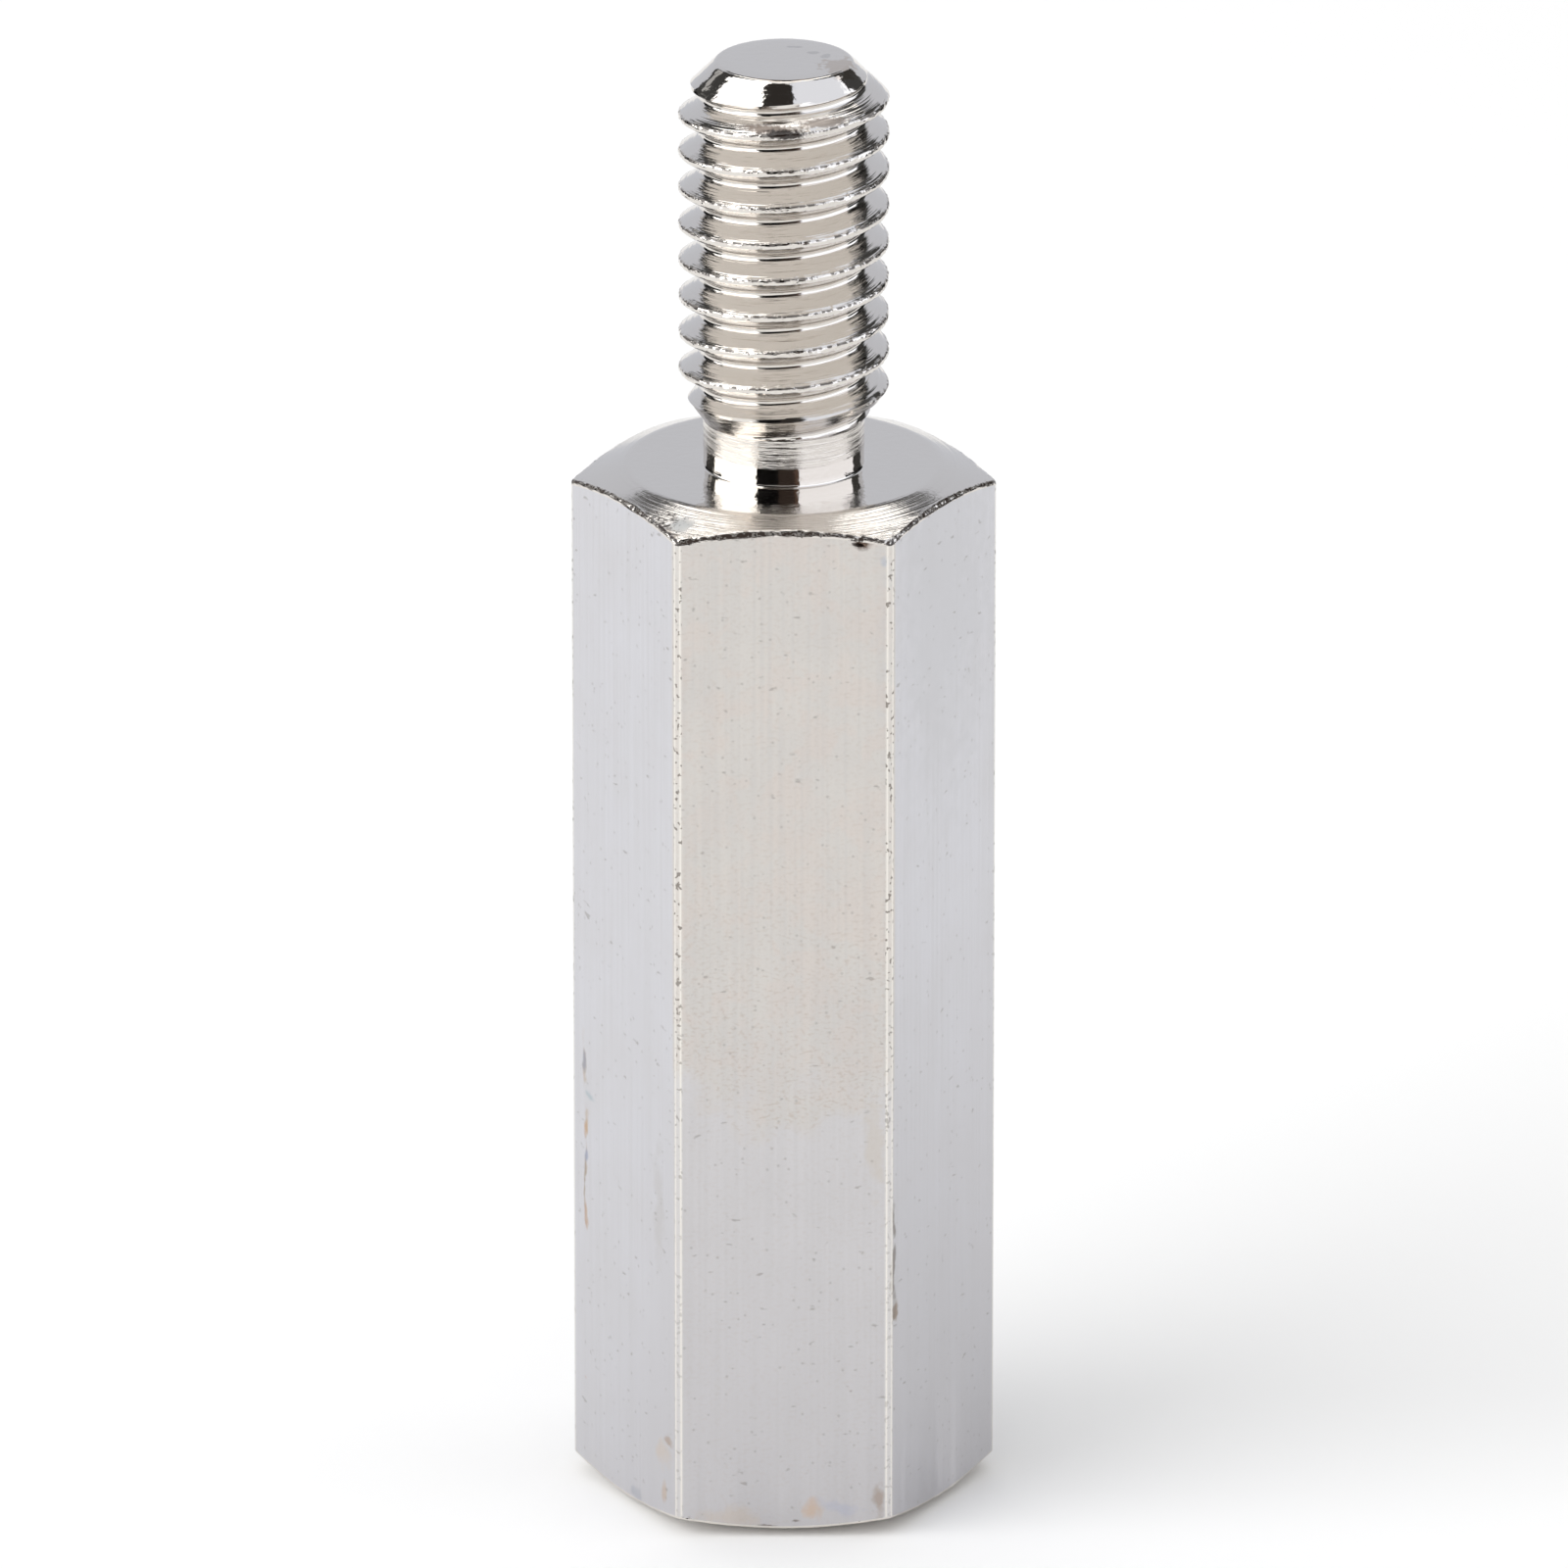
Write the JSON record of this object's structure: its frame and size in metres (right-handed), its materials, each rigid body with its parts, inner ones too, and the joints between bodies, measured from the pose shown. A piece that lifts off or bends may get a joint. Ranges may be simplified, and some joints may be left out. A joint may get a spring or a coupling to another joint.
{
  "type": "hex standoff",
  "caption": "Hex standoff turned from one bar: a threaded stud on a chamfered hex body, with a blind tapped hole in its base, for spacing boards and panels.",
  "frame": {"origin": "centre of the base face, on the axis of the standoff", "axes": "+Z along the axis from the tapped base to the stud's end, with two of the flats facing -Y and +Y"},
  "size_m": [0.0078, 0.0068, 0.0278],
  "materials": {
    "nickel_plated_brass": "bright nickel plating over drawn and turned brass"
  },
  "bodies": {
    "root": {"hex_standoff": "nickel_plated_brass"}
  },
  "joints": []
}
